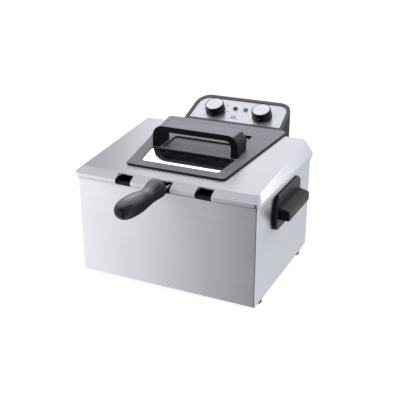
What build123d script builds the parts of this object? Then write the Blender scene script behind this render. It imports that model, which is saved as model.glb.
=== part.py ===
from build123d import *
import os
from math import atan, atan2, cos, sin

os.makedirs("parts", exist_ok=True)

# ---------------------------------------------------------------- driving dimensions, in millimetres
# X runs to the right, Y to the back and Z up; the feet stand on Z = 0.
BODY_W = 360.0
BODY_D = 292.0
BODY_H = 187.0
SHEET = 0.8
BODY_R = 3.0
FOOT_H = 8.0
FOOT_R = 11.0
TOTAL_D = 542.0          # from the tip of the basket grip to the back of the power inlet
GRIP_REACH = 150.0       # how far the basket grip stands out in front of the housing

FRONT_Y = GRIP_REACH - TOTAL_D / 2
REAR_Y = FRONT_Y + BODY_D
MID_Y = (FRONT_Y + REAR_Y) / 2
BASE_Z = FOOT_H
TOP_Z = BASE_Z + BODY_H

POT_W = 328.0
POT_FRONT_Y = FRONT_Y + 14.0
POT_REAR_Y = REAR_Y - 36.0
POT_D = POT_REAR_Y - POT_FRONT_Y
POT_MID_Y = (POT_FRONT_Y + POT_REAR_Y) / 2
POT_R = 28.0
POT_FLOOR_Z = 44.0
BEAD_OUT = 2.0           # rolled edge of the pot, outside the housing walls
BEAD_IN = 3.0            # and inside them
BEAD_TOP_Z = TOP_Z + 6.5

LID_OUT = 5.0            # lid overhang beyond the housing
LID_RIM_Z = TOP_Z + 7.5
LID_RIM_H = 6.5
LID_SHEET = 1.0
LID_CREASE_IN = 18.0     # width of the front slope
LID_SIDE_IN = 9.0        # width of the side slopes
LID_REAR_IN = 30.0       # width of the rear slope
LID_RISE = 9.5           # height of the front slope
LID_TOP_R = 9.0
LID_PITCH = 0.096        # rise of the top per millimetre to the back
LID_W = BODY_W + 2 * LID_OUT
LID_D = BODY_D + 2 * LID_OUT
LID_BAND_Z = LID_RIM_Z + LID_RIM_H
CREASE_Y = FRONT_Y - LID_OUT + LID_CREASE_IN
CREASE_Z = LID_BAND_Z + LID_RISE
TOP_D = LID_D - LID_CREASE_IN - LID_REAR_IN

NOTCH_W = 31.5
NOTCH_PITCH = 80.0
NOTCH_REAR_Y = FRONT_Y + 11.0
NOTCH_X = (-NOTCH_PITCH, 0.0, NOTCH_PITCH)

PANEL_T = 4.5
PANEL_BEVEL = 1.2
PANEL_FRONT_Y = FRONT_Y + 41.0
PANEL_REAR_Y = FRONT_Y + 283.0
PANEL_HALF_FRONT = 100.0
PANEL_HALF_REAR = 133.0

WINDOW_FRONT_Y = FRONT_Y + 63.0
WINDOW_REAR_Y = FRONT_Y + 124.5
WINDOW_HALF_FRONT = 80.0
WINDOW_HALF_REAR = 88.0
WINDOW_R = 6.0
WINDOW_LIP_T = 1.0       # edge of the lid's insert over the gasket
GASKET_T = 0.5
GLASS_OUT = 4.0          # how far the glass reaches under that edge
RETAINER_T = 1.2

VENT_HALF = 76.0
VENT_FRONT_Y = FRONT_Y + 205.0
VENT_REAR_Y = FRONT_Y + 236.0

RECESS_FRONT_Y = FRONT_Y + 131.0     # hand recess in the insert, under the arch handle
RECESS_REAR_Y = FRONT_Y + 188.0
RECESS_HALF = 69.0
RECESS_DEPTH = 3.3

ARCH_FRONT_Y = FRONT_Y + 126.0
ARCH_DEPTH = 46.0
ARCH_HALF = 89.0
ARCH_LEG = 14.0
ARCH_TOP_Z = TOP_Z + 82.0
ARCH_BAR = 11.5
ARCH_R = 22.0

SIDE_PLATE_T = 8.0
SIDE_PLATE_Y = (FRONT_Y + 78.5, FRONT_Y + 210.0)
SIDE_PLATE_Z = (TOP_Z - 71.0, TOP_Z - 3.0)
SIDE_PLATE_R = 14.0
SIDE_SCREW_IN = 14.0     # screws from the plate's edges
SIDE_GRIP_Y = (FRONT_Y + 86.0, FRONT_Y + 202.0)
SIDE_GRIP_LOW_Z = TOP_Z - 50.0
SIDE_GRIP_TOP_Z = (TOP_Z - 24.5, TOP_Z - 31.5)     # at the housing and at the tip
SIDE_GRIP_ROOT = 2.0     # where the grip starts inside its plate
SIDE_GRIP_OUT = 29.0
SIDE_GRIP_WALL = 6.0
SIDE_POCKET_TOP_Z = TOP_Z - 35.0

HEAD_FRONT_Y = REAR_Y + 7.0
HEAD_REAR_Y = TOTAL_D / 2 - 2.0
HEAD_BASE_Z = 118.0
HEAD_WALL = 2.5
FASCIA_LOW = (REAR_Y + 14.0, TOP_Z + 43.0)     # Y and Z of the fascia's lower edge
FASCIA_HIGH = (HEAD_REAR_Y, TOP_Z + 78.6)
HEAD_HALF_LOW = 111.5
HEAD_HALF_HIGH = 108.0
HEAD_CORNER_R = 30.0     # upright rear corners, seen from above
BEZEL_W = 8.0
BEZEL_LOW = 9.5          # width of the bezel along the lower edge
BEZEL_H = 2.0
FASCIA_T = 0.8
FASCIA_FLOOR = 2.5

KNOB_X = 53.5
KNOB_S = 42.4            # height of the knob centres up the fascia
KNOB_R_LOW = 21.6
KNOB_R_HIGH = 19.8
KNOB_H = 16.5
KNOB_GAP = 0.6
CAP_R = 18.0
CAP_SEAT = 0.8           # depth of the recess for the cap
SHAFT_R = 3.0
SHAFT_GRIP = 12.5        # length of the spindle inside the dial
LENS_X = 11.8
LENS_S = 55.0
LENS_R = 5.4

ROD_R = 3.5              # heating element tube
ROD_Z = 60.0
ROD_Y = POT_REAR_Y - 8.0
ROD_RISER_X = 30.0
ROD_TOP_Z = 202.0
BRACKET_HALF = 50.0
BRACKET_T = 1.5
BRACKET_FRONT_Y = POT_REAR_Y - 16.0
BRACKET_TOP_Z = 207.5

BASKET_W = 300.0
BASKET_FRONT_Y = POT_FRONT_Y + 16.0
BASKET_REAR_Y = BASKET_FRONT_Y + 196.0
BASKET_D = BASKET_REAR_Y - BASKET_FRONT_Y
BASKET_MID_Y = (BASKET_FRONT_Y + BASKET_REAR_Y) / 2
BASKET_FLOOR_Z = 78.0
BASKET_RIM_Z = 172.0
BASKET_R = 22.0
BASKET_FLOOR_R = 8.0
MESH_T = 1.2
RIM_WIRE_R = 2.5
RIB_WIRE_R = 1.5
FORK_R = 2.5
FORK_X = 7.0
FORK_Y = BASKET_FRONT_Y - 2 * RIM_WIRE_R - 4.5
FORK_Z = TOP_Z + 13.3
FORK_END_Y = FRONT_Y - 40.0
FORK_PLATE_W = 34.0      # plate that joins the handle wires to the basket
FORK_PLATE_H = 50.0
FORK_PLATE_Z = 148.0
FORK_PLATE_T = 1.6
LOW_RING_UP = 30.0
RIBS_ACROSS_Y = (-55.0, 0.0, 55.0)
RIBS_ALONG_X = (-95.0, -32.0, 32.0, 95.0)

SCREW_R = 2.0            # screw shanks, and the holes they pass or grip
SCREW_HOLE_R = 2.2
SMALL_SCREW_R = 1.9
FOOT_SCREW_UP = 4.5      # height of the shoulder in each foot that the screw's head holds
FLANGE_IN = 7.0          # inward flange along the housing's top edge
BASE_LIP_H = 12.0        # upturned edge of the base plate
REST_LIP_T = 1.3         # front lip of the handle rests, outside the rolled edge
REST_GAP = 0.3
CHEEK_W = 3.0
CHEEK_H = 6.5
SKIRT_GAP = 3.0          # between the lid's skirt and the pot's wall
SKIRT_DEPTH = 5.0        # how far the skirt reaches into the pot
LOUVRE_L = 90.0
LOUVRE_UP = 34.0
INLET_W = 46.0
INLET_H = 24.0
PIN_PITCH = 22.0
RESET_R = 4.0

GAP = 0.3                # running clearance between pieces that move apart

# ---------------------------------------------------------------- reference planes
LID_ANGLE = atan(LID_PITCH)
LID_PLANE = Plane(
    origin=(0, CREASE_Y, CREASE_Z),
    x_dir=(1, 0, 0),
    z_dir=(0, -sin(LID_ANGLE), cos(LID_ANGLE)),
)
FASCIA_RUN = FASCIA_HIGH[0] - FASCIA_LOW[0]
FASCIA_RISE = FASCIA_HIGH[1] - FASCIA_LOW[1]
FASCIA_ANGLE = atan2(FASCIA_RISE, FASCIA_RUN)
FASCIA_PLANE = Plane(
    origin=(0, FASCIA_LOW[0], FASCIA_LOW[1]),
    x_dir=(1, 0, 0),
    z_dir=(0, -sin(FASCIA_ANGLE), cos(FASCIA_ANGLE)),
)


def lid_v(y):
    """Distance up the lid's top plane from its front crease, for a Y."""
    return (y - CREASE_Y) / cos(LID_ANGLE)


def finish(builder, name):
    """Label a sub-part and write its STEP file."""
    builder.part.label = name
    export_step(builder.part, f"parts/{name}.step")


def plane_at(x, y, z, normal, x_dir=(1, 0, 0)):
    """A plane through a point."""
    return Plane(origin=(x, y, z), x_dir=x_dir, z_dir=normal)


SIDE_SCREWS = [(y, z) for y in (SIDE_PLATE_Y[0] + SIDE_SCREW_IN, SIDE_PLATE_Y[1] - SIDE_SCREW_IN)
               for z in (SIDE_PLATE_Z[0] + SIDE_SCREW_IN, SIDE_PLATE_Z[1] - SIDE_SCREW_IN)]

# ================================================================ housing
with BuildPart() as outer_housing:
    with BuildSketch(Plane.XY.offset(BASE_Z)):
        with Locations((0, MID_Y)):
            RectangleRounded(BODY_W, BODY_D, BODY_R)
            RectangleRounded(BODY_W - 2 * SHEET, BODY_D - 2 * SHEET, BODY_R - SHEET, mode=Mode.SUBTRACT)
    extrude(amount=BODY_H)
    # inward flange along the top edge, where the pot rests
    with BuildSketch(Plane.XY.offset(TOP_Z - SHEET)):
        with Locations((0, MID_Y)):
            RectangleRounded(BODY_W - SHEET, BODY_D - SHEET, BODY_R - SHEET / 2)
            RectangleRounded(BODY_W - 2 * FLANGE_IN, BODY_D - 2 * FLANGE_IN, BODY_R, mode=Mode.SUBTRACT)
    extrude(amount=SHEET)
    # screw holes for the side handles
    for side in (-1, 1):
        for y, z in SIDE_SCREWS:
            with BuildSketch(plane_at(side * (BODY_W / 2 - 3), y, z, (side, 0, 0), (0, 1, 0))):
                Circle(SCREW_HOLE_R)
            extrude(amount=4, mode=Mode.SUBTRACT)
finish(outer_housing, "outer_housing")

FOOT_X = BODY_W / 2 - FOOT_R
FOOT_Y = (FRONT_Y + 35.0, FRONT_Y + 249.0)
FOOT_SPOTS = [(x, y) for x in (-FOOT_X, FOOT_X) for y in FOOT_Y]

with BuildPart() as base_plate:
    inner_w = BODY_W - 2 * SHEET - 0.2
    inner_d = BODY_D - 2 * SHEET - 0.2
    with BuildSketch(Plane.XY.offset(BASE_Z)):
        with Locations((0, MID_Y)):
            RectangleRounded(inner_w, inner_d, BODY_R - SHEET)
    extrude(amount=BASE_LIP_H)
    with BuildSketch(Plane.XY.offset(BASE_Z + 1)):
        with Locations((0, MID_Y)):
            RectangleRounded(inner_w - 2, inner_d - 2, BODY_R - SHEET - 0.8)
    extrude(amount=BASE_LIP_H, mode=Mode.SUBTRACT)
    # cooling slots
    with BuildSketch(Plane.XY.offset(BASE_Z)):
        with Locations((0, MID_Y)):
            with GridLocations(60, 22, 4, 5):
                SlotOverall(40, 5)
        with Locations(*FOOT_SPOTS):
            Circle(SCREW_HOLE_R)
    extrude(amount=1, mode=Mode.SUBTRACT)
finish(base_plate, "base_plate")

with BuildPart() as feet:
    with BuildSketch(Plane.XY.offset(FOOT_H)):
        with Locations(*FOOT_SPOTS):
            Circle(FOOT_R)
    extrude(amount=-FOOT_H, taper=3)
    with BuildSketch(Plane.XY):
        with Locations(*FOOT_SPOTS):
            Circle(4.6)
    extrude(amount=FOOT_SCREW_UP, mode=Mode.SUBTRACT)
    with BuildSketch(Plane.XY):
        with Locations(*FOOT_SPOTS):
            Circle(SCREW_HOLE_R)
    extrude(amount=FOOT_H, mode=Mode.SUBTRACT)
    chamfer(feet.edges().group_by(Axis.Z)[0].filter_by(lambda e: e.radius > 6), 0.8)
finish(feet, "feet")

with BuildPart() as foot_screws:
    with BuildSketch(Plane.XY.offset(2.2)):
        with Locations(*FOOT_SPOTS):
            Circle(4.0)
    extrude(amount=2.3)
    with BuildSketch(Plane.XY.offset(FOOT_SCREW_UP)):
        with Locations(*FOOT_SPOTS):
            Circle(SCREW_R)
    extrude(amount=9)
    # cross recess
    with BuildSketch(Plane.XY.offset(2.2)):
        with Locations(*FOOT_SPOTS):
            Rectangle(4.4, 0.9)
            Rectangle(0.9, 4.4)
    extrude(amount=1.2, mode=Mode.SUBTRACT)
finish(foot_screws, "foot_screws")


def side_handle(side):
    """One carrying handle, a plate with a hooded grip that is open underneath."""
    face_x = side * BODY_W / 2
    tip_x = face_x + side * SIDE_GRIP_OUT
    root_x = face_x + side * SIDE_GRIP_ROOT
    mid_y = sum(SIDE_PLATE_Y) / 2
    mid_z = sum(SIDE_PLATE_Z) / 2
    out = (side, 0, 0)
    with BuildPart() as handle:
        with BuildSketch(plane_at(face_x, mid_y, mid_z, out, (0, side, 0))):
            plate_l = SIDE_PLATE_Y[1] - SIDE_PLATE_Y[0]
            RectangleRounded(plate_l, SIDE_PLATE_Z[1] - SIDE_PLATE_Z[0], SIDE_PLATE_R)
        extrude(amount=SIDE_PLATE_T)
        chamfer(handle.faces().sort_by(Axis.X)[-1 if side > 0 else 0].edges(), 3)
        with BuildSketch(Plane.XZ.offset(-SIDE_GRIP_Y[0])):
            with BuildLine():
                Polyline(
                    (root_x, SIDE_GRIP_LOW_Z),
                    (tip_x, SIDE_GRIP_LOW_Z),
                    (tip_x, SIDE_GRIP_TOP_Z[1]),
                    (root_x, SIDE_GRIP_TOP_Z[0]),
                    close=True,
                )
            make_face()
        extrude(amount=SIDE_GRIP_Y[0] - SIDE_GRIP_Y[1])
        past_plate = BODY_W / 2 + SIDE_PLATE_T + 2
        fillet(handle.edges().filter_by(lambda e: abs(e.center().X) > past_plate), 4)
        # finger pocket under the grip's hood
        pocket_out = SIDE_GRIP_OUT - SIDE_GRIP_WALL - SIDE_PLATE_T
        pocket_x = face_x + side * (SIDE_PLATE_T + pocket_out / 2)
        with BuildSketch(Plane.XY.offset(SIDE_GRIP_LOW_Z - 1)):
            with Locations((pocket_x, sum(SIDE_GRIP_Y) / 2)):
                Rectangle(pocket_out, SIDE_GRIP_Y[1] - SIDE_GRIP_Y[0] - 2 * SIDE_GRIP_WALL)
        extrude(amount=SIDE_POCKET_TOP_Z - SIDE_GRIP_LOW_Z + 1, mode=Mode.SUBTRACT)
        # blind screw holes from the housing side
        for y, z in SIDE_SCREWS:
            with BuildSketch(plane_at(face_x, y, z, out, (0, side, 0))):
                Circle(SCREW_R)
            extrude(amount=4.5, mode=Mode.SUBTRACT)
    return handle


side_handle_left = side_handle(-1)
finish(side_handle_left, "side_handle_left")
side_handle_right = side_handle(1)
finish(side_handle_right, "side_handle_right")

with BuildPart() as side_handle_screws:
    for side in (-1, 1):
        inner_x = side * (BODY_W / 2 - SHEET)
        for y, z in SIDE_SCREWS:
            with BuildSketch(plane_at(inner_x, y, z, (-side, 0, 0), (0, 1, 0))):
                Circle(3.8)
            extrude(amount=2.4)
            with BuildSketch(plane_at(inner_x, y, z, (side, 0, 0), (0, 1, 0))):
                Circle(SMALL_SCREW_R)
            extrude(amount=4.8)
finish(side_handle_screws, "side_handle_screws")

# ================================================================ oil pot
with BuildPart() as pot_hollow:
    with BuildSketch(Plane.XY.offset(POT_FLOOR_Z + SHEET)):
        with Locations((0, POT_MID_Y)):
            RectangleRounded(POT_W, POT_D, POT_R)
    extrude(amount=BODY_H)
    fillet(pot_hollow.edges().group_by(Axis.Z)[0], 8)

with BuildPart() as oil_pot:
    with BuildSketch(Plane.XY.offset(POT_FLOOR_Z)):
        with Locations((0, POT_MID_Y)):
            RectangleRounded(POT_W + 2 * SHEET, POT_D + 2 * SHEET, POT_R + SHEET)
    extrude(amount=TOP_Z - POT_FLOOR_Z)
    fillet(oil_pot.edges().group_by(Axis.Z)[0], 8 + SHEET)
    # flange that rests on the housing's top edge
    with BuildSketch(Plane.XY.offset(TOP_Z)):
        with Locations((0, MID_Y)):
            RectangleRounded(BODY_W + 2 * BEAD_OUT, BODY_D + 2 * BEAD_OUT, BODY_R + BEAD_OUT)
    extrude(amount=SHEET)
    with BuildSketch(Plane.XY.offset(TOP_Z)):
        with Locations((0, MID_Y)):
            RectangleRounded(BODY_W + 2 * BEAD_OUT, BODY_D + 2 * BEAD_OUT, BODY_R + BEAD_OUT)
            RectangleRounded(BODY_W - 2 * BEAD_IN, BODY_D - 2 * BEAD_IN, BODY_R, mode=Mode.SUBTRACT)
    extrude(amount=BEAD_TOP_Z - TOP_Z)
    fillet(oil_pot.edges().group_by(Axis.Z)[-1], 2)
    # the bead is pressed flat where the control head's bracket crosses it
    with BuildSketch(Plane.XY.offset(TOP_Z + SHEET)):
        with Locations((0, REAR_Y)):
            Rectangle(2 * BRACKET_HALF + 6, 12)
    extrude(amount=BEAD_TOP_Z, mode=Mode.SUBTRACT)
    add(pot_hollow.part, mode=Mode.SUBTRACT)
finish(oil_pot, "oil_pot")


def handle_rest(x):
    """Plastic saddle clipped over the pot's front edge, under a notch in the lid."""
    width = NOTCH_W - 2.0
    front = FRONT_Y - BEAD_OUT - REST_GAP - REST_LIP_T
    bead_in = FRONT_Y + BEAD_IN + REST_GAP
    rear = POT_FRONT_Y - 1.2
    seat_z = FORK_Z - FORK_R - GAP
    lip_z = TOP_Z + 5.0
    with BuildPart() as rest:
        with BuildSketch(Plane.YZ.offset(x - width / 2)):
            with BuildLine():
                Polyline(
                    (front, lip_z),
                    (front, seat_z - 4),
                    (front + 3.5, seat_z),
                    (rear, seat_z),
                    (rear, TOP_Z + SHEET),
                    (bead_in, TOP_Z + SHEET),
                    (bead_in, BEAD_TOP_Z + 0.2),
                    (front + REST_LIP_T, BEAD_TOP_Z + 0.2),
                    (front + REST_LIP_T, lip_z),
                    close=True,
                )
            make_face()
        extrude(amount=width)
        # cheeks that keep the two wires between them
        for side in (-1, 1):
            with BuildSketch(Plane.XY.offset(seat_z)):
                with Locations((x + side * (width - CHEEK_W) / 2, (front + 6 + rear) / 2)):
                    Rectangle(CHEEK_W, rear - front - 6)
            extrude(amount=CHEEK_H)
        fillet(rest.edges().filter_by(Axis.Y).group_by(Axis.Z)[-1], 0.8)
    return rest


for rest_name, rest_x in zip(("left", "centre", "right"), NOTCH_X):
    finish(handle_rest(rest_x), f"handle_rest_{rest_name}")

# ================================================================ lid
def lid_block(inset, drop):
    """Solid under the lid's outside skin, drawn in by the sheet's thickness."""
    with BuildPart() as block:
        with BuildSketch(Plane.XY.offset(LID_BAND_Z - drop * 0.4)) as band:
            with Locations((0, MID_Y)):
                RectangleRounded(LID_W - 2 * inset, LID_D - 2 * inset, 10 - inset)
        with BuildSketch(LID_PLANE.offset(-drop)):
            with Locations((0, lid_v(CREASE_Y + TOP_D / 2))):
                top_w = LID_W - 2 * LID_SIDE_IN - inset
                top_d = TOP_D / cos(LID_ANGLE) - inset
                RectangleRounded(top_w, top_d, LID_TOP_R)
        loft()
        extrude(band.sketch, amount=-(LID_RIM_H - drop * 0.4) - inset)
    return block.part


def window_outline(grow):
    """Outline of the viewing window on the lid plane, grown outwards."""
    with BuildSketch(LID_PLANE) as outline:
        with BuildLine():
            Polyline(
                (-WINDOW_HALF_FRONT, lid_v(WINDOW_FRONT_Y)),
                (WINDOW_HALF_FRONT, lid_v(WINDOW_FRONT_Y)),
                (WINDOW_HALF_REAR, lid_v(WINDOW_REAR_Y)),
                (-WINDOW_HALF_REAR, lid_v(WINDOW_REAR_Y)),
                close=True,
            )
        make_face()
        fillet(outline.vertices(), WINDOW_R)
        if grow:
            offset(amount=grow, kind=Kind.ARC)
    return outline.sketch


def lid_sketch(source, height):
    """A sketch on the lid plane moved along the lid's normal."""
    return source.moved(Location(LID_PLANE.z_dir * height))


WINDOW = window_outline(0)
WINDOW_GLASS = window_outline(GLASS_OUT)
WINDOW_REBATE = window_outline(GLASS_OUT + 0.3)
WINDOW_RETAINER = window_outline(GLASS_OUT + 5)
WINDOW_LIP = window_outline(-1.5)
GASKET_TOP = PANEL_T - WINDOW_LIP_T
GLASS_TOP = GASKET_TOP - GASKET_T

ARCH_SCREW_X = ARCH_HALF - ARCH_LEG / 2 + 1
ARCH_SCREW_Y = (ARCH_FRONT_Y + 14, ARCH_FRONT_Y + ARCH_DEPTH - 8)
ARCH_SCREWS = [(x, lid_v(y)) for x in (-ARCH_SCREW_X, ARCH_SCREW_X) for y in ARCH_SCREW_Y]
VENT_MID_V = lid_v((VENT_FRONT_Y + VENT_REAR_Y) / 2)
VENT_LEN = (VENT_REAR_Y - VENT_FRONT_Y) / cos(LID_ANGLE)
lid_outside = lid_block(0, 0)
lid_inside = lid_block(LID_SHEET, LID_SHEET)

with BuildPart() as lid_shell:
    add(lid_outside)
    add(lid_inside, mode=Mode.SUBTRACT)
    # notches for the basket handles, through the front rim and slope
    with BuildSketch(Plane.XY.offset(LID_RIM_Z - 1)):
        with Locations(*[(x, (FRONT_Y - LID_OUT - 1 + NOTCH_REAR_Y) / 2) for x in NOTCH_X]):
            Rectangle(NOTCH_W, NOTCH_REAR_Y - FRONT_Y + LID_OUT + 1)
    extrude(amount=20, mode=Mode.SUBTRACT)
    # gap in the rear rim, over the control head's bracket
    with BuildSketch(Plane.XY.offset(LID_RIM_Z - 1)):
        with Locations((0, REAR_Y)):
            Rectangle(2 * BRACKET_HALF + 12, 16)
    extrude(amount=BRACKET_TOP_Z + 3.5 - LID_RIM_Z, mode=Mode.SUBTRACT)
    extrude(lid_sketch(WINDOW_REBATE, -3), amount=6, dir=LID_PLANE.z_dir, mode=Mode.SUBTRACT)
    with BuildSketch(LID_PLANE.offset(-3)):
        with Locations((0, VENT_MID_V)):
            RectangleRounded(2 * VENT_HALF - 6, VENT_LEN - 6, 2)
        with Locations(*ARCH_SCREWS):
            Circle(SCREW_HOLE_R)
    extrude(amount=6, mode=Mode.SUBTRACT)
finish(lid_shell, "lid_shell")

with BuildPart() as lid_skirt:
    skirt_in = SKIRT_GAP + SHEET
    with BuildSketch(Plane.XY.offset(TOP_Z - SKIRT_DEPTH)):
        with Locations((0, POT_MID_Y)):
            RectangleRounded(POT_W - 2 * SKIRT_GAP, POT_D - 2 * SKIRT_GAP, POT_R - SKIRT_GAP)
            skirt_r = POT_R - skirt_in
            RectangleRounded(POT_W - 2 * skirt_in, POT_D - 2 * skirt_in, skirt_r, mode=Mode.SUBTRACT)
    extrude(amount=60)
    split(bisect_by=LID_PLANE.offset(-LID_SHEET), keep=Keep.BOTTOM)
    with BuildSketch(Plane.XY.offset(TOP_Z - 6)):
        with Locations(*[(x, POT_FRONT_Y + 3) for x in NOTCH_X]):
            Rectangle(NOTCH_W, 8)
        with Locations((0, POT_REAR_Y - 3)):
            Rectangle(2 * BRACKET_HALF + 12, 10)
    extrude(amount=23, mode=Mode.SUBTRACT)
finish(lid_skirt, "lid_skirt")

with BuildPart() as lid_panel:
    with BuildSketch(LID_PLANE):
        with BuildLine():
            Polyline(
                (-PANEL_HALF_FRONT, lid_v(PANEL_FRONT_Y)),
                (PANEL_HALF_FRONT, lid_v(PANEL_FRONT_Y)),
                (PANEL_HALF_REAR, lid_v(PANEL_REAR_Y)),
                (-PANEL_HALF_REAR, lid_v(PANEL_REAR_Y)),
                close=True,
            )
        outline = make_face()
        fillet(outline.vertices(), 9)
    extrude(amount=PANEL_T)
    chamfer(lid_panel.faces().sort_by(Axis.Z)[-1].edges(), PANEL_BEVEL)
    # rear lip that follows the lid's rear slope
    crease_rear_y = CREASE_Y + TOP_D
    crease_rear_z = CREASE_Z + TOP_D * LID_PITCH
    rear_fall = (crease_rear_z - LID_BAND_Z) / LID_REAR_IN
    lip_in = PANEL_REAR_Y - 0.5
    lip_z = CREASE_Z + (lip_in - CREASE_Y) * LID_PITCH
    with BuildSketch(Plane.YZ.offset(-(PANEL_HALF_REAR - 7))):
        with BuildLine():
            Polyline(
                (crease_rear_y + 1, crease_rear_z + 0.3),
                (lip_in, lip_z + 1),
                (lip_in, crease_rear_z - (lip_in - crease_rear_y) * rear_fall + 1.0),
                close=True,
            )
        make_face()
    extrude(amount=2 * (PANEL_HALF_REAR - 7))
    # opening, rebated from below for the gasket and the glass
    extrude(lid_sketch(WINDOW, -5), amount=15, dir=LID_PLANE.z_dir, mode=Mode.SUBTRACT)
    extrude(lid_sketch(WINDOW_REBATE, -5), amount=5 + GASKET_TOP, dir=LID_PLANE.z_dir, mode=Mode.SUBTRACT)
    with BuildSketch(LID_PLANE.offset(PANEL_T - RECESS_DEPTH)):
        with Locations((0, lid_v((RECESS_FRONT_Y + RECESS_REAR_Y) / 2))):
            RectangleRounded(2 * RECESS_HALF, (RECESS_REAR_Y - RECESS_FRONT_Y) / cos(LID_ANGLE), 5)
    extrude(amount=RECESS_DEPTH + 1, mode=Mode.SUBTRACT)
    with BuildSketch(LID_PLANE.offset(-1)):
        with Locations((0, VENT_MID_V)):
            RectangleRounded(2 * VENT_HALF, VENT_LEN, 3)
        with Locations(*ARCH_SCREWS):
            Circle(SCREW_HOLE_R)
    extrude(amount=10, mode=Mode.SUBTRACT)
finish(lid_panel, "lid_panel")

with BuildPart() as window_gasket:
    extrude(lid_sketch(WINDOW_GLASS, GLASS_TOP), amount=GASKET_T, dir=LID_PLANE.z_dir)
    extrude(lid_sketch(WINDOW, GLASS_TOP - 1), amount=GASKET_T + 2, dir=LID_PLANE.z_dir, mode=Mode.SUBTRACT)
finish(window_gasket, "window_gasket")

with BuildPart() as window_glass:
    extrude(lid_sketch(WINDOW_GLASS, -LID_SHEET), amount=LID_SHEET + GLASS_TOP, dir=LID_PLANE.z_dir)
finish(window_glass, "window_glass")

with BuildPart() as window_retainer:
    ring_low = -LID_SHEET - RETAINER_T
    extrude(lid_sketch(WINDOW_RETAINER, ring_low), amount=RETAINER_T, dir=LID_PLANE.z_dir)
    extrude(lid_sketch(WINDOW_LIP, ring_low - 1), amount=4, dir=LID_PLANE.z_dir, mode=Mode.SUBTRACT)
finish(window_retainer, "window_retainer")

# ---------------------------------------------------------------- arch handle of the lid
ARCH_BASE_Z = CREASE_Z + 4
with BuildPart() as lid_handle:
    arch_h = ARCH_TOP_Z - ARCH_BASE_Z
    with BuildSketch(plane_at(0, ARCH_FRONT_Y, ARCH_BASE_Z, (0, -1, 0))):
        with BuildLine():
            Polyline((-ARCH_HALF, 0), (-ARCH_HALF, arch_h), (ARCH_HALF, arch_h), (ARCH_HALF, 0), close=True)
        arch_face = make_face()
        fillet(arch_face.vertices().group_by(Axis.Y)[-1], ARCH_R)
    extrude(amount=-ARCH_DEPTH)
    inner_half = ARCH_HALF - ARCH_LEG
    with BuildSketch(plane_at(0, ARCH_FRONT_Y, ARCH_BASE_Z, (0, -1, 0))):
        with BuildLine():
            inner_h = arch_h - ARCH_BAR
            Polyline(
                (-inner_half, 0),
                (-inner_half, inner_h),
                (inner_half, inner_h),
                (inner_half, 0),
                close=True,
            )
        gap_face = make_face()
        fillet(gap_face.vertices().group_by(Axis.Y)[-1], ARCH_R - 11)
    extrude(amount=-ARCH_DEPTH, mode=Mode.SUBTRACT)
    # feet cut to the slope of the lid insert
    split(bisect_by=LID_PLANE.offset(PANEL_T), keep=Keep.TOP)
    front_rear = lid_handle.faces().filter_by(Axis.Y)
    fillet(front_rear.edges().filter_by(lambda e: e.center().Z > ARCH_BASE_Z + 20), 2)
    with BuildSketch(LID_PLANE.offset(PANEL_T)):
        with Locations(*ARCH_SCREWS):
            Circle(SCREW_R)
    extrude(amount=11, mode=Mode.SUBTRACT)
finish(lid_handle, "lid_handle")

with BuildPart() as lid_handle_screws:
    with BuildSketch(LID_PLANE.offset(-LID_SHEET)):
        with Locations(*ARCH_SCREWS):
            Circle(3.6)
    extrude(amount=-2.2)
    with BuildSketch(LID_PLANE.offset(-LID_SHEET)):
        with Locations(*ARCH_SCREWS):
            Circle(SMALL_SCREW_R)
    extrude(amount=LID_SHEET + PANEL_T + 10)
finish(lid_handle_screws, "lid_handle_screws")

# ---------------------------------------------------------------- steam filter
with BuildPart() as vent_grille:
    with BuildSketch(LID_PLANE):
        with Locations((0, VENT_MID_V)):
            RectangleRounded(2 * VENT_HALF - 0.6, VENT_LEN - 0.6, 2.7)
            with GridLocations(9, 0, 16, 1):
                SlotOverall(VENT_LEN - 9, 3.4, rotation=90, mode=Mode.SUBTRACT)
    extrude(amount=1.2)
finish(vent_grille, "vent_grille")

FILTER_HALF = VENT_HALF - 4
FILTER_LEN = VENT_LEN - 8
FILTER_T = 7.0
with BuildPart() as filter_mat:
    with BuildSketch(LID_PLANE):
        with Locations((0, VENT_MID_V)):
            RectangleRounded(2 * FILTER_HALF, FILTER_LEN, 2)
    extrude(amount=-FILTER_T)
finish(filter_mat, "filter_mat")

with BuildPart() as filter_cover:
    with BuildSketch(LID_PLANE.offset(-LID_SHEET)):
        with Locations((0, VENT_MID_V)):
            RectangleRounded(2 * FILTER_HALF + 4, FILTER_LEN + 4, 3)
    extrude(amount=-(FILTER_T - LID_SHEET + 1.2))
    with BuildSketch(LID_PLANE.offset(-LID_SHEET)):
        with Locations((0, VENT_MID_V)):
            RectangleRounded(2 * FILTER_HALF + 0.4, FILTER_LEN + 0.4, 2)
    extrude(amount=-(FILTER_T - LID_SHEET), mode=Mode.SUBTRACT)
    with BuildSketch(LID_PLANE.offset(-FILTER_T - 2)):
        with Locations((0, VENT_MID_V)):
            with GridLocations(9, 7, 15, 3):
                Circle(2)
    extrude(amount=3, mode=Mode.SUBTRACT)
finish(filter_cover, "filter_cover")

# ================================================================ control head
def head_plan(inset, front_y, front_r=0):
    """Head outline seen from above, drawn in at the sides and the rear."""
    with BuildSketch(Plane.XY.offset(HEAD_BASE_Z)) as outline:
        with BuildLine():
            Polyline(
                (-HEAD_HALF_LOW + inset, front_y),
                (-HEAD_HALF_HIGH + inset, HEAD_REAR_Y - inset),
                (HEAD_HALF_HIGH - inset, HEAD_REAR_Y - inset),
                (HEAD_HALF_LOW - inset, front_y),
                close=True,
            )
        make_face()
        fillet(outline.vertices().group_by(Axis.Y)[-1], HEAD_CORNER_R - inset)
        if front_r:
            fillet(outline.vertices().group_by(Axis.Y)[0], front_r)
    return outline.sketch


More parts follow.
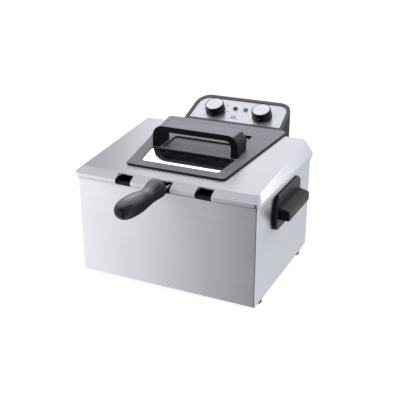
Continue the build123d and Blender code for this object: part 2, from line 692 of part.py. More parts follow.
def head_block(inset, fascia_inset):
    """Upright head cut to its side profile, drawn in by the wall's thickness."""
    with BuildPart() as block:
        extrude(head_plan(inset, HEAD_FRONT_Y + inset), amount=HEAD_SPAN_Z, dir=(0, 0, 1))
        with BuildSketch(Plane.YZ):
            with BuildLine():
                Polyline(
                    (HEAD_FRONT_Y + inset, HEAD_BASE_Z + inset),
                    (HEAD_FRONT_Y + inset, FASCIA_LOW[1] - 6 - inset / 2),
                    (FASCIA_LOW[0] + inset / 2, FASCIA_LOW[1] - inset / 2),
                    (FASCIA_HIGH[0], FASCIA_HIGH[1] - inset / 2),
                    (FASCIA_HIGH[0], HEAD_BASE_Z + inset),
                    close=True,
                )
            make_face()
        extrude(amount=HEAD_HALF_LOW + 10, both=True, mode=Mode.INTERSECT)
        split(bisect_by=FASCIA_PLANE.offset(-fascia_inset), keep=Keep.BOTTOM)
    return block.part


def fascia_slab(inset, low, high):
    """Slab inside the bezel between two heights over the fascia plane."""
    with BuildPart() as slab:
        front_y = FASCIA_LOW[0] + BEZEL_LOW + inset - BEZEL_W
        extrude(head_plan(inset, front_y, 2), amount=HEAD_SPAN_Z, dir=(0, 0, 1))
        split(bisect_by=FASCIA_PLANE.offset(low), keep=Keep.TOP)
        split(bisect_by=FASCIA_PLANE.offset(high), keep=Keep.BOTTOM)
    return slab.part


HEAD_SPAN_Z = FASCIA_HIGH[1] - HEAD_BASE_Z + 20
REAR_COVER_T = 2.5
COVER_GAP = 0.3
COVER_W = 2 * (HEAD_HALF_HIGH - HEAD_CORNER_R) - 6.0
COVER_H = FASCIA_HIGH[1] - HEAD_BASE_Z - 40.6
COVER_Z = (HEAD_BASE_Z + FASCIA_HIGH[1]) / 2 - 10
COVER_SCREW_IN = 9.0
COVER_SCREWS = [(x, z) for x in (-COVER_W / 2 + COVER_SCREW_IN, COVER_W / 2 - COVER_SCREW_IN)
                for z in (COVER_Z - COVER_H / 2 + COVER_SCREW_IN, COVER_Z + COVER_H / 2 - COVER_SCREW_IN)]
head_outside = head_block(0, 0)
head_hollow = head_block(HEAD_WALL, BEZEL_H + FASCIA_FLOOR)
fascia_pocket = fascia_slab(BEZEL_W, -BEZEL_H, 10)

with BuildPart() as head_housing:
    add(head_outside)
    add(head_hollow, mode=Mode.SUBTRACT)
    add(fascia_pocket, mode=Mode.SUBTRACT)
    # open back, closed by the rear cover
    with BuildSketch(Plane.XZ.offset(-HEAD_REAR_Y - 1)):
        with Locations((0, COVER_Z)):
            RectangleRounded(COVER_W + 2 * COVER_GAP, COVER_H + 2 * COVER_GAP, 6)
    extrude(amount=REAR_COVER_T + 2, mode=Mode.SUBTRACT)
    # tabs behind the cover for its screws
    with BuildSketch(Plane.XZ.offset(-(HEAD_REAR_Y - REAR_COVER_T))):
        with Locations(*[(x + (2 if x > 0 else -2), z) for x, z in COVER_SCREWS]):
            Rectangle(20, 17)
        with Locations(*COVER_SCREWS):
            Circle(1.7, mode=Mode.SUBTRACT)
    extrude(amount=3)
    # slot for the bracket and the element
    with BuildSketch(Plane.XZ.offset(-HEAD_FRONT_Y + 1)):
        with Locations((0, (TOP_Z + 2.8 + BRACKET_TOP_Z + 1) / 2)):
            Rectangle(2 * BRACKET_HALF + 1, BRACKET_TOP_Z + 1 - TOP_Z - 2.8)
    extrude(amount=-(HEAD_WALL + 2), mode=Mode.SUBTRACT)
    with BuildSketch(FASCIA_PLANE):
        with Locations((-KNOB_X, KNOB_S), (KNOB_X, KNOB_S)):
            Circle(SHAFT_R + 0.8)
        with Locations((-LENS_X, LENS_S), (LENS_X, LENS_S)):
            Circle(LENS_R - 0.8)
    extrude(amount=-(BEZEL_H + FASCIA_FLOOR + 2), mode=Mode.SUBTRACT)
finish(head_housing, "head_housing")

INLET_X = -45.0
INLET_Z = HEAD_BASE_Z + 40.0
RESET_X = 45.0
RESET_Z = INLET_Z

with BuildPart() as head_rear_cover:
    with BuildSketch(Plane.XZ.offset(-(HEAD_REAR_Y - REAR_COVER_T))):
        with Locations((0, COVER_Z)):
            RectangleRounded(COVER_W, COVER_H, 5.7)
        with Locations((INLET_X, INLET_Z)):
            RectangleRounded(INLET_W, INLET_H, 3, mode=Mode.SUBTRACT)
        with Locations((RESET_X, RESET_Z)):
            Circle(RESET_R + 0.4, mode=Mode.SUBTRACT)
        with Locations(*COVER_SCREWS):
            Circle(1.8, mode=Mode.SUBTRACT)
        # louvres
        with Locations((0, COVER_Z + LOUVRE_UP)):
            with GridLocations(0, 7, 1, 4):
                SlotOverall(LOUVRE_L, 3, mode=Mode.SUBTRACT)
    extrude(amount=-REAR_COVER_T)
finish(head_rear_cover, "head_rear_cover")

with BuildPart() as cover_screws:
    with BuildSketch(Plane.XZ.offset(-HEAD_REAR_Y)):
        with Locations(*COVER_SCREWS):
            Circle(3)
    extrude(amount=-1.4)
    fillet(cover_screws.faces().sort_by(Axis.Y)[-4:].edges(), 0.6)
    with BuildSketch(Plane.XZ.offset(-HEAD_REAR_Y)):
        with Locations(*COVER_SCREWS):
            Circle(1.6)
    extrude(amount=REAR_COVER_T + 5)
    with BuildSketch(Plane.XZ.offset(-HEAD_REAR_Y - 1.5)):
        with Locations(*COVER_SCREWS):
            Rectangle(3.4, 0.8)
            Rectangle(0.8, 3.4)
    extrude(amount=0.9, mode=Mode.SUBTRACT)
finish(cover_screws, "cover_screws")

with BuildPart() as fascia_panel:
    add(fascia_slab(BEZEL_W + GAP, -BEZEL_H, -BEZEL_H + FASCIA_T))
    with BuildSketch(FASCIA_PLANE):
        with Locations((-KNOB_X, KNOB_S), (KNOB_X, KNOB_S)):
            Circle(SHAFT_R + 0.8)
        with Locations((-LENS_X, LENS_S), (LENS_X, LENS_S)):
            Circle(LENS_R - 0.8)
    extrude(amount=-4, mode=Mode.SUBTRACT)
finish(fascia_panel, "fascia_panel")

FASCIA_TOP = -BEZEL_H + FASCIA_T


def top_circle(builder):
    """The circular edge furthest out along the fascia's normal."""
    circles = builder.edges().filter_by(GeomType.CIRCLE)
    return circles.sort_by(lambda e: FASCIA_PLANE.to_local_coords(e).center().Z)[-1]


def knob(x):
    """Tapered dial with a nib at its pointer and a recess for the metal cap."""
    low = FASCIA_TOP + KNOB_GAP
    with BuildPart() as dial:
        with BuildSketch(FASCIA_PLANE.offset(low)):
            with Locations((x, KNOB_S)):
                Circle(KNOB_R_LOW)
        with BuildSketch(FASCIA_PLANE.offset(low + 5)):
            with Locations((x, KNOB_S)):
                Circle(KNOB_R_LOW - 0.6)
        loft()
        with BuildSketch(FASCIA_PLANE.offset(low + 5)):
            with Locations((x, KNOB_S)):
                Circle(KNOB_R_LOW - 0.6)
        with BuildSketch(FASCIA_PLANE.offset(low + KNOB_H)):
            with Locations((x, KNOB_S)):
                Circle(KNOB_R_HIGH)
        loft()
        fillet(top_circle(dial), 0.6)
        # pointer nib on the lower front of the skirt
        with BuildSketch(FASCIA_PLANE.offset(low)):
            with Locations((x, KNOB_S - KNOB_R_LOW + 1)):
                RectangleRounded(3, 5, 1)
        extrude(amount=7)
        with BuildSketch(FASCIA_PLANE.offset(low + KNOB_H - CAP_SEAT)):
            with Locations((x, KNOB_S)):
                Circle(CAP_R + 0.1)
        extrude(amount=2, mode=Mode.SUBTRACT)
        with BuildSketch(FASCIA_PLANE.offset(low)):
            with Locations((x, KNOB_S)):
                Circle(SHAFT_R)
        extrude(amount=SHAFT_GRIP + 0.5, mode=Mode.SUBTRACT)
    return dial


def knob_cap(x):
    """Domed metal disc in the top of a dial."""
    low = FASCIA_TOP + KNOB_GAP + KNOB_H - CAP_SEAT
    with BuildPart() as cap:
        with BuildSketch(FASCIA_PLANE.offset(low)):
            with Locations((x, KNOB_S)):
                Circle(CAP_R)
        extrude(amount=1.4)
        chamfer(top_circle(cap), 0.5, 0.9)
    return cap


def control_shaft(x):
    """Spindle of the thermostat or timer, from inside its body up into the dial."""
    with BuildPart() as shaft:
        with BuildSketch(FASCIA_PLANE.offset(-BEZEL_H - FASCIA_FLOOR - 12)):
            with Locations((x, KNOB_S)):
                Circle(SHAFT_R)
        extrude(amount=12 + FASCIA_FLOOR + FASCIA_T + KNOB_GAP + SHAFT_GRIP)
    return shaft


CONTROL_TOP = -BEZEL_H - FASCIA_FLOOR


def control_body(x, width, height, depth):
    """Thermostat or timer case behind the fascia, with a bearing hole for its spindle."""
    with BuildPart() as case:
        with BuildSketch(FASCIA_PLANE.offset(CONTROL_TOP)):
            with Locations((x, KNOB_S)):
                RectangleRounded(width, height, 3)
        extrude(amount=-depth)
        with BuildSketch(FASCIA_PLANE.offset(CONTROL_TOP - depth)):
            with Locations((x - width / 4, KNOB_S), (x + width / 4, KNOB_S)):
                Rectangle(0.8, 6)
        extrude(amount=-7)
        with BuildSketch(FASCIA_PLANE.offset(CONTROL_TOP)):
            with Locations((x, KNOB_S)):
                Circle(SHAFT_R + 0.05)
        extrude(amount=-13, mode=Mode.SUBTRACT)
    return case


THERMOSTAT_D = 20.0
thermostat = control_body(-KNOB_X, 36, 30, THERMOSTAT_D)
finish(thermostat, "thermostat")
timer = control_body(KNOB_X, 42, 40, 24)
finish(timer, "timer")
for control, control_x in (("thermostat", -KNOB_X), ("timer", KNOB_X)):
    finish(knob(control_x), f"{control}_knob")
    finish(knob_cap(control_x), f"{control}_knob_cap")
    finish(control_shaft(control_x), f"{control}_shaft")


def indicator(x):
    """Domed lens pressed into the fascia."""
    with BuildPart() as lens:
        with BuildSketch(FASCIA_PLANE.offset(FASCIA_TOP)):
            with Locations((x, LENS_S)):
                Circle(LENS_R)
        extrude(amount=2.4)
        fillet(top_circle(lens), 1.8)
        with BuildSketch(FASCIA_PLANE.offset(FASCIA_TOP)):
            with Locations((x, LENS_S)):
                Circle(LENS_R - 1)
        extrude(amount=-(FASCIA_T + FASCIA_FLOOR + 3))
    return lens


finish(indicator(-LENS_X), "red_lens")
finish(indicator(LENS_X), "green_lens")

with BuildPart() as indicator_lamps:
    with BuildSketch(FASCIA_PLANE.offset(CONTROL_TOP - 3.2)):
        with Locations((-LENS_X, LENS_S), (LENS_X, LENS_S)):
            Circle(2.4)
    extrude(amount=-9)
finish(indicator_lamps, "indicator_lamps")

# ---------------------------------------------------------------- bracket and element
with BuildPart() as head_bracket:
    bracket_rear = HEAD_FRONT_Y + 30
    with BuildSketch(Plane.YZ.offset(-BRACKET_HALF)):
        with BuildLine():
            Polyline(
                (bracket_rear, BRACKET_TOP_Z),
                (BRACKET_FRONT_Y, BRACKET_TOP_Z),
                (BRACKET_FRONT_Y, POT_FLOOR_Z + 24),
                (POT_REAR_Y - 3, POT_FLOOR_Z + 24),
                (POT_REAR_Y - 3, TOP_Z + 3.3),
                (bracket_rear, TOP_Z + 3.3),
                close=True,
            )
        make_face()
    extrude(amount=2 * BRACKET_HALF)
    bend = head_bracket.edges().filter_by(Axis.X).filter_by(
        lambda e: e.center().Y < BRACKET_FRONT_Y + 1 and e.center().Z > BRACKET_TOP_Z - 1)
    fillet(bend, 4)
    with BuildSketch(Plane.YZ.offset(-BRACKET_HALF + BRACKET_T)):
        with BuildLine():
            Polyline(
                (bracket_rear + 1, BRACKET_TOP_Z - BRACKET_T),
                (BRACKET_FRONT_Y + BRACKET_T, BRACKET_TOP_Z - BRACKET_T),
                (BRACKET_FRONT_Y + BRACKET_T, POT_FLOOR_Z),
                (POT_REAR_Y, POT_FLOOR_Z),
                (POT_REAR_Y, TOP_Z),
                (bracket_rear + 1, TOP_Z),
                close=True,
            )
        make_face()
    extrude(amount=2 * (BRACKET_HALF - BRACKET_T), mode=Mode.SUBTRACT)
    # flange that is screwed to the inside of the head's front wall
    with BuildSketch(Plane.XZ.offset(-(HEAD_FRONT_Y + HEAD_WALL))):
        with Locations((0, BRACKET_TOP_Z + 8)):
            Rectangle(2 * BRACKET_HALF, 16)
        with Locations((-38, BRACKET_TOP_Z + 9), (38, BRACKET_TOP_Z + 9)):
            Circle(2, mode=Mode.SUBTRACT)
    extrude(amount=-BRACKET_T)
    # windows that let oil reach the element's risers
    with BuildSketch(Plane.XZ.offset(-BRACKET_FRONT_Y + 2)):
        with Locations((0, (POT_FLOOR_Z + TOP_Z) / 2 - 12)):
            with GridLocations(24, 26, 3, 3):
                SlotOverall(16, 6)
    extrude(amount=-5, mode=Mode.SUBTRACT)
finish(head_bracket, "head_bracket")

ROD_FRONT_Y = POT_FRONT_Y + 30
ROD_OUT_X = 130.0
ROD_IN_X = 46.0
ROD_TURN_Y = POT_REAR_Y - 30.0
ROD_BACK_Y = POT_REAR_Y - 66.0
half_path = [
    (ROD_RISER_X, HEAD_FRONT_Y + 34, ROD_TOP_Z),
    (ROD_RISER_X, ROD_Y, ROD_TOP_Z),
    (ROD_RISER_X, ROD_Y, ROD_Z),
    (ROD_RISER_X, ROD_TURN_Y, ROD_Z),
    (ROD_OUT_X, ROD_TURN_Y, ROD_Z),
    (ROD_OUT_X, ROD_FRONT_Y, ROD_Z),
    (ROD_IN_X, ROD_FRONT_Y, ROD_Z),
    (ROD_IN_X, ROD_BACK_Y, ROD_Z),
]
whole_path = half_path + [(-x, y, z) for x, y, z in reversed(half_path)]

with BuildPart() as heating_element:
    with BuildLine():
        FilletPolyline(*whole_path, radius=10)
    with BuildSketch(Plane(origin=whole_path[0], z_dir=(0, -1, 0))):
        Circle(ROD_R)
    sweep()
    # terminal studs
    for side in (-1, 1):
        with BuildSketch(plane_at(side * ROD_RISER_X, HEAD_FRONT_Y + 34, ROD_TOP_Z, (0, 1, 0))):
            Circle(1.6)
        extrude(amount=9)
finish(heating_element, "heating_element")

with BuildPart() as element_clamp:
    with BuildSketch(Plane.XY.offset(140)):
        with Locations((0, ROD_Y + ROD_R + 0.6)):
            Rectangle(2 * ROD_RISER_X + 14, 1.2)
        with Locations((-ROD_RISER_X - 6, (BRACKET_FRONT_Y + BRACKET_T + ROD_Y + ROD_R) / 2),
                       (ROD_RISER_X + 6, (BRACKET_FRONT_Y + BRACKET_T + ROD_Y + ROD_R) / 2)):
            Rectangle(1.2, ROD_Y + ROD_R - BRACKET_FRONT_Y - BRACKET_T)
    extrude(amount=12)
finish(element_clamp, "element_clamp")

BULB_X = 12.0
CAP_TUBE_R = 0.9
with BuildPart() as thermostat_bulb:
    with BuildSketch(Plane.XY.offset(POT_FLOOR_Z + 34)):
        with Locations((BULB_X, ROD_Y)):
            Circle(3)
    extrude(amount=72)
    chamfer(thermostat_bulb.edges().filter_by(GeomType.CIRCLE), 0.8)
    case_end = FASCIA_PLANE.from_local_coords(Vector(8 - KNOB_X, KNOB_S - 8, CONTROL_TOP - THERMOSTAT_D))
    tube_points = [
        (BULB_X, ROD_Y, POT_FLOOR_Z + 105),
        (BULB_X, ROD_Y, ROD_TOP_Z),
        (BULB_X, HEAD_FRONT_Y + 48, ROD_TOP_Z),
        (case_end.X, case_end.Y, ROD_TOP_Z + 2),
        (case_end.X, case_end.Y, case_end.Z),
    ]
    with BuildLine():
        FilletPolyline(*tube_points, radius=8)
    with BuildSketch(Plane.XY.offset(POT_FLOOR_Z + 105)):
        with Locations((BULB_X, ROD_Y)):
            Circle(CAP_TUBE_R)
    sweep()
finish(thermostat_bulb, "thermostat_bulb")

with BuildPart() as bulb_clip:
    with BuildSketch(Plane.XY.offset(POT_FLOOR_Z + 60)):
        with Locations((BULB_X, ROD_Y)):
            Circle(4)
            Circle(3, mode=Mode.SUBTRACT)
        with Locations((BULB_X, (BRACKET_FRONT_Y + BRACKET_T + ROD_Y - 3.6) / 2)):
            Rectangle(3, ROD_Y - 3.6 - BRACKET_FRONT_Y - BRACKET_T)
    extrude(amount=10)
finish(bulb_clip, "bulb_clip")

# ---------------------------------------------------------------- electrical pieces in the head
with BuildPart() as terminal_block:
    with BuildSketch(Plane.XY.offset(HEAD_BASE_Z + HEAD_WALL)):
        with Locations((0, HEAD_FRONT_Y + 24)):
            RectangleRounded(40, 18, 2)
    extrude(amount=16)
    with BuildSketch(Plane.XY.offset(HEAD_BASE_Z + HEAD_WALL + 16)):
        with Locations((0, HEAD_FRONT_Y + 24)):
            with GridLocations(12, 0, 3, 1):
                Circle(3)
    extrude(amount=-6, mode=Mode.SUBTRACT)
finish(terminal_block, "terminal_block")

with BuildPart() as thermal_cutout:
    with BuildSketch(Plane.XZ.offset(-(HEAD_REAR_Y - REAR_COVER_T - 4))):
        with Locations((RESET_X, RESET_Z)):
            RectangleRounded(26, 20, 3)
            Circle(2.6, mode=Mode.SUBTRACT)
    extrude(amount=16)
finish(thermal_cutout, "thermal_cutout")

with BuildPart() as reset_button:
    with BuildSketch(Plane.XZ.offset(-(HEAD_REAR_Y - REAR_COVER_T - 1.2))):
        with Locations((RESET_X, RESET_Z)):
            Circle(RESET_R)
    extrude(amount=-(REAR_COVER_T + 2.7))
    fillet(reset_button.edges().filter_by(GeomType.CIRCLE).sort_by(Axis.Y)[-1], 0.8)
    with BuildSketch(Plane.XZ.offset(-(HEAD_REAR_Y - REAR_COVER_T - 1.2))):
        with Locations((RESET_X, RESET_Z)):
            Circle(2.5)
    extrude(amount=10)
finish(reset_button, "reset_button")

with BuildPart() as power_inlet:
    with BuildSketch(Plane.XZ.offset(-(HEAD_REAR_Y - 14))):
        with Locations((INLET_X, INLET_Z)):
            RectangleRounded(INLET_W - 0.6, INLET_H - 0.6, 3)
    extrude(amount=-16)
    with BuildSketch(Plane.XZ.offset(-(HEAD_REAR_Y + 2))):
        with Locations((INLET_X, INLET_Z)):
            RectangleRounded(38, 16, 2)
    extrude(amount=11, mode=Mode.SUBTRACT)
    with BuildSketch(Plane.XZ.offset(-(HEAD_REAR_Y - 14))):
        with Locations((INLET_X - PIN_PITCH / 2, INLET_Z), (INLET_X + PIN_PITCH / 2, INLET_Z)):
            Circle(2.0)
    extrude(amount=-10, mode=Mode.SUBTRACT)
finish(power_inlet, "power_inlet")

with BuildPart() as inlet_pins:
    with BuildSketch(Plane.XZ.offset(-(HEAD_REAR_Y - 20))):
        with Locations((INLET_X - PIN_PITCH / 2, INLET_Z), (INLET_X + PIN_PITCH / 2, INLET_Z)):
            Circle(1.95)
    extrude(amount=-18.5)
    fillet(inlet_pins.edges().filter_by(GeomType.CIRCLE).sort_by(Axis.Y)[-2:], 0.9)
finish(inlet_pins, "inlet_pins")

with BuildPart() as interlock_switch:
    with BuildSketch(Plane.XZ.offset(-(HEAD_FRONT_Y + HEAD_WALL))):
        with Locations((-78, 160)):
            RectangleRounded(20, 28, 1.5)
    extrude(amount=-10)
finish(interlock_switch, "interlock_switch")

# ================================================================ basket
with BuildPart() as basket_mesh:
    with BuildSketch(Plane.XY.offset(BASKET_FLOOR_Z)):
        with Locations((0, BASKET_MID_Y)):
            RectangleRounded(BASKET_W, BASKET_D, BASKET_R)
    extrude(amount=BASKET_RIM_Z - BASKET_FLOOR_Z)
    fillet(basket_mesh.edges().group_by(Axis.Z)[0], BASKET_FLOOR_R)
    offset(amount=-MESH_T, openings=basket_mesh.faces().sort_by(Axis.Z)[-1])
finish(basket_mesh, "basket_mesh")

RIM_W = BASKET_W + 2 * RIM_WIRE_R + 0.2
RIM_D = BASKET_D + 2 * RIM_WIRE_R + 0.2


def wire_ring(z, half_w, half_d, radius, wire_r):
    """A closed wire round the basket, as a tube on a rounded rectangle."""
    with BuildPart() as ring:
        with BuildLine(Plane.XY.offset(z)):
            corners = [(-half_w, -half_d), (half_w, -half_d), (half_w, half_d), (-half_w, half_d)]
            FilletPolyline(*[(x, y + BASKET_MID_Y) for x, y in corners], radius=radius, close=True)
        with BuildSketch(plane_at(0, BASKET_MID_Y - half_d, z, (1, 0, 0), (0, 1, 0))):
            Circle(wire_r)
        sweep()
    return ring.part


def wire_run(points, radius, wire_r):
    """An open wire through some points, with rounded bends."""
    with BuildPart() as wire:
        with BuildLine():
            FilletPolyline(*points, radius=radius)
        start = Vector(*points[0])
        with BuildSketch(Plane(origin=start, z_dir=Vector(*points[1]) - start)):
            Circle(wire_r)
        sweep()
    return wire.part


weld = 0.05              # the wires are spot-welded, so they only touch
rib_w = BASKET_W / 2 + RIB_WIRE_R + weld
rib_d = BASKET_D / 2 + RIB_WIRE_R + weld
rib_z = BASKET_FLOOR_Z - RIB_WIRE_R - weld
rib_low_z = rib_z - 2 * RIB_WIRE_R - weld
rib_top_z = BASKET_RIM_Z - RIM_WIRE_R - weld
ring_gap = 2 * RIB_WIRE_R + weld
ring_top = wire_ring(BASKET_RIM_Z, RIM_W / 2, RIM_D / 2, BASKET_R + RIM_WIRE_R, RIM_WIRE_R)
ring_low_z = BASKET_FLOOR_Z + LOW_RING_UP
ring_low = wire_ring(ring_low_z, rib_w + ring_gap, rib_d + ring_gap, BASKET_R + ring_gap, RIB_WIRE_R)
across = [
    wire_run([(-rib_w, BASKET_MID_Y + y, rib_top_z), (-rib_w, BASKET_MID_Y + y, rib_z),
              (rib_w, BASKET_MID_Y + y, rib_z), (rib_w, BASKET_MID_Y + y, rib_top_z)],
             BASKET_FLOOR_R, RIB_WIRE_R)
    for y in RIBS_ACROSS_Y
]
along = [
    wire_run([(x, BASKET_MID_Y - rib_d, rib_top_z), (x, BASKET_MID_Y - rib_d, rib_low_z),
              (x, BASKET_MID_Y + rib_d, rib_low_z), (x, BASKET_MID_Y + rib_d, rib_top_z)],
             BASKET_FLOOR_R, RIB_WIRE_R)
    for x in RIBS_ALONG_X
]

with BuildPart() as basket_rim:
    add(ring_top)
finish(basket_rim, "basket_rim")

with BuildPart() as basket_ribs:
    add(ring_low)
    for wire in across + along:
        add(wire)
finish(basket_ribs, "basket_ribs")

fork_wires = [
    wire_run([(side * FORK_X, FORK_Y, 124), (side * FORK_X, FORK_Y, FORK_Z),
              (side * FORK_X, FORK_END_Y, FORK_Z)], 6, FORK_R)
    for side in (-1, 1)
]

with BuildPart() as basket_handle_fork:
    for wire in fork_wires:
        add(wire)
    # plate that joins the two wires to the basket's front
    with BuildSketch(Plane.XZ.offset(-(FORK_Y + FORK_PLATE_T))):
        with Locations((0, FORK_PLATE_Z)):
            RectangleRounded(FORK_PLATE_W, FORK_PLATE_H, 4)
    extrude(amount=-(BASKET_FRONT_Y - 2 * RIM_WIRE_R - GAP - FORK_Y - FORK_PLATE_T))
finish(basket_handle_fork, "basket_handle_fork")

# distance out from the housing, width, height, height of the centre over the housing
GRIP_SECTIONS = (
    (7, 26, 22, 13.8),
    (14, 31, 31, 17.0),
    (30, 34, 38.5, 20.5),
    (56, 29, 31, 17.5),
    (82, 33, 36, 18.5),
    (108, 36, 38, 20.7),
    (130, 34, 36, 22.5),
    (143, 27, 27, 23.0),
    (GRIP_REACH, 12, 12.5, 23.0),
)
with BuildPart() as basket_grip:
    for out, width, height, rise in GRIP_SECTIONS:
        with BuildSketch(plane_at(0, FRONT_Y - out, TOP_Z + rise, (0, -1, 0))):
            Ellipse(width / 2, height / 2)
    loft()
    with BuildSketch(plane_at(0, FRONT_Y - 5, FORK_Z, (0, -1, 0))):
        with Locations((-FORK_X, 0), (FORK_X, 0)):
            Circle(FORK_R + 0.05)
    extrude(amount=FRONT_Y - FORK_END_Y - 4.5, mode=Mode.SUBTRACT)
finish(basket_grip, "basket_grip")
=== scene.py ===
import math

import bmesh
import bpy
from mathutils import Matrix, Vector


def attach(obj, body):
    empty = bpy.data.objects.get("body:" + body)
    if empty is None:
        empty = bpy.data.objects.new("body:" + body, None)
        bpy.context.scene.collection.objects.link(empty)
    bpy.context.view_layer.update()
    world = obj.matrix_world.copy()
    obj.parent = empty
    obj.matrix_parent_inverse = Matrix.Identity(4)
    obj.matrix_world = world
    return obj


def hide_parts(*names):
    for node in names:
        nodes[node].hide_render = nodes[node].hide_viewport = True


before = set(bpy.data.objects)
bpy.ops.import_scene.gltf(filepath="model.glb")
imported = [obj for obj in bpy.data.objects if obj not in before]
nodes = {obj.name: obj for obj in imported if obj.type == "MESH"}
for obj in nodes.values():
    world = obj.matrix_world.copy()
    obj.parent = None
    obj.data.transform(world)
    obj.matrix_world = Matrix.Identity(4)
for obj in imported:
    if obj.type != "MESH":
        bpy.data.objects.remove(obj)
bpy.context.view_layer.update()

scene = bpy.context.scene


# ---------------------------------------------------------------- camera
def make_camera():
    """The photograph's point of view: from the front right, looking down on the lid."""
    yaw, pitch = math.radians(25.3), math.radians(22.97)
    data = bpy.data.cameras.new("camera")
    data.lens = 66.95
    data.sensor_width = 36.0
    camera = bpy.data.objects.new("camera", data)
    camera.location = (0.581, -1.1964, 0.7016)
    camera.rotation_euler = (math.pi / 2 - pitch, 0.0, yaw)
    scene.collection.objects.link(camera)
    scene.camera = camera


make_camera()


# ---------------------------------------------------------------- material helpers
def feed(tree, value, socket):
    """Link another node's output to a socket, or set the socket to a plain value."""
    if isinstance(value, bpy.types.NodeSocket):
        tree.links.new(value, socket)
    else:
        socket.default_value = value


class Graph:
    """A material with a Principled shader, and short calls that add and link its nodes."""

    def __init__(self, name, **settings):
        self.material = bpy.data.materials.new(name)
        self.material.use_nodes = True
        self.tree = self.material.node_tree
        self.shader = self.tree.nodes["Principled BSDF"]
        for socket, value in settings.items():
            self.shader.inputs[socket.replace("_", " ")].default_value = value

    def add(self, kind, inputs=None, **settings):
        node = self.tree.nodes.new(kind)
        for key, value in settings.items():
            setattr(node, key, value)
        for key, value in (inputs or {}).items():
            feed(self.tree, value, node.inputs[key])
        return node

    def place(self):
        """Position on the piece, in metres."""
        return self.add("ShaderNodeTexCoord").outputs["Object"]

    def stretched(self, scale):
        """Position with its own scale along each axis, for grain that runs one way."""
        return self.add("ShaderNodeMapping", {"Vector": self.place(), "Scale": scale}).outputs["Vector"]

    def noise(self, scale, vector=None, detail=2.0, roughness=0.5):
        inputs = {"Scale": scale, "Detail": detail, "Roughness": roughness}
        inputs["Vector"] = self.place() if vector is None else vector
        return self.add("ShaderNodeTexNoise", inputs).outputs["Fac"]

    def spread(self, value, low, high, source=(0.3, 0.7)):
        """Map a value from its source range to low..high, clamped at both ends."""
        inputs = {"Value": value, "To Min": low, "To Max": high}
        inputs["From Min"], inputs["From Max"] = source
        return self.add("ShaderNodeMapRange", inputs).outputs["Result"]

    def mix(self, factor, a, b):
        """Blend two colours, each of them an RGB triple or another node's output."""
        node = self.add("ShaderNodeMix", {"Factor": factor}, data_type="RGBA")
        for socket, colour in ((node.inputs[6], a), (node.inputs[7], b)):
            feed(self.tree, (*colour, 1.0) if isinstance(colour, tuple) else colour, socket)
        return node.outputs[2]

    def bump(self, height, distance, strength=1.0):
        inputs = {"Height": height, "Distance": distance, "Strength": strength}
        return self.add("ShaderNodeBump", inputs).outputs["Normal"]

    def math(self, operation, a, b):
        return self.add("ShaderNodeMath", {0: a, 1: b}, operation=operation).outputs[0]

    def vector(self, operation, a, b):
        return self.add("ShaderNodeVectorMath", {0: a, 1: b}, operation=operation).outputs[0]

    def to(self, socket, value):
        self.tree.links.new(value, self.shader.inputs[socket])


def shade(rgb, factor):
    return tuple(c * factor for c in rgb)


def brushed_metal(name, rgb, roughness, grain, anisotropic=0.9, line=0.000006):
    """Sheet metal with fine parallel brushing. grain is the scale of the lines along X, Y and Z."""
    g = Graph(name, Metallic=1.0, Anisotropic=anisotropic)
    lines = g.noise(1.0, g.stretched(grain), detail=3.0, roughness=0.65)
    broad = g.noise(1.0, g.stretched(tuple(c * 0.12 for c in grain)), detail=2.0)
    cloud = g.noise(7.0, detail=3.0)
    rough = g.math("ADD", g.spread(lines, roughness - 0.03, roughness + 0.03), g.spread(cloud, -0.02, 0.02))
    g.to("Roughness", rough)
    tone = g.math("MULTIPLY", g.spread(broad, 0.5, 1.0), g.spread(lines, 0.5, 1.0))
    g.to("Base Color", g.mix(tone, shade(rgb, 0.93), rgb))
    g.to("Normal", g.bump(lines, line))
    # the brushing scatters light across its lines, which run level on every wall
    normal = g.add("ShaderNodeNewGeometry").outputs["Normal"]
    level = g.vector("CROSS_PRODUCT", normal, (0.0, 0.0, 1.0))
    g.to("Tangent", g.vector("CROSS_PRODUCT", normal, level))
    return g.material


def smooth_metal(name, rgb, roughness, cloud_scale=60.0):
    """Plated or drawn metal with faint handling marks."""
    g = Graph(name, Metallic=1.0)
    cloud = g.noise(cloud_scale, detail=4.0)
    fine = g.noise(cloud_scale * 25, detail=2.0)
    rough = g.math("ADD", g.spread(cloud, roughness * 0.8, roughness * 1.3), g.spread(fine, -0.02, 0.02))
    g.to("Roughness", rough)
    g.to("Base Color", g.mix(g.spread(cloud, 0.0, 1.0), shade(rgb, 0.9), rgb))
    g.to("Normal", g.bump(fine, 0.000006))
    return g.material


def plastic(name, rgb, roughness, grain=1500.0, depth=0.00002, level=0.5, painted_top_tone=None,
            crest=(0.78, 0.90)):
    """Moulded plastic with a spark-eroded texture. Faces that look up past crest are blended towards a given
    paler tone: painted light, a sheen from above painted into the colour.
    """
    g = Graph(name, Specular_IOR_Level=level)
    fine = g.noise(grain, detail=3.0, roughness=0.6)
    cloud = g.noise(14.0, detail=3.0)
    rough = g.math("ADD", g.spread(cloud, roughness - 0.05, roughness + 0.05), g.spread(fine, -0.03, 0.03))
    g.to("Roughness", rough)
    colour = g.mix(g.spread(fine, 0.0, 1.0), shade(rgb, 0.8), shade(rgb, 1.15))
    # painted light: faces that look up are blended towards a paler tone, standing in for the light that
    # falls on them from above
    if painted_top_tone:
        facing = g.add("ShaderNodeTexCoord").outputs["Normal"]
        height = g.add("ShaderNodeSeparateXYZ", {"Vector": facing}).outputs["Z"]
        painted_top_colour = g.mix(g.spread(cloud, 0.0, 1.0), shade(painted_top_tone, 0.92), painted_top_tone)
        colour = g.mix(g.spread(height, 0.0, 1.0, crest), colour, painted_top_colour)
    g.to("Base Color", colour)
    g.to("Normal", g.bump(fine, depth))
    return g.material


def rubber(name, rgb):
    return plastic(name, rgb, 0.7, grain=900.0, depth=0.00005)


